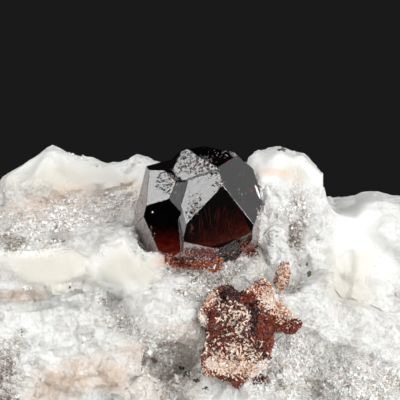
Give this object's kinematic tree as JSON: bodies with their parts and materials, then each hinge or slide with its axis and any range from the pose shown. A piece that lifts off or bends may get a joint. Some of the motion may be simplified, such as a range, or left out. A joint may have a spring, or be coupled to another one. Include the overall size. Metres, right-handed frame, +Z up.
{
  "type": "garnet crystal in matrix",
  "caption": "Dark red faceted garnet seated in a rough lump of white feldspar and quartz, with a rusty broken garnet below it.",
  "frame": {"origin": "middle of the flat base, at the bottom centre of the whole specimen's box", "axes": "+X along the specimen's length, +Z up, -Y toward the side that shows the garnet"},
  "size_m": [0.0646, 0.0386, 0.0345],
  "materials": {
    "matrix_rock": "broken white feldspar with sugary grey quartz, satin to rough",
    "garnet_crystal": "deep red clear crystal, polished and lightly etched natural faces",
    "weathered_garnet": "rusty brown crumbly garnet, broken and iron stained"
  },
  "bodies": {
    "root": {"matrix": "matrix_rock", "garnet": "garnet_crystal", "broken_garnet": "weathered_garnet", "garnet_splinter": "weathered_garnet"}
  },
  "joints": []
}
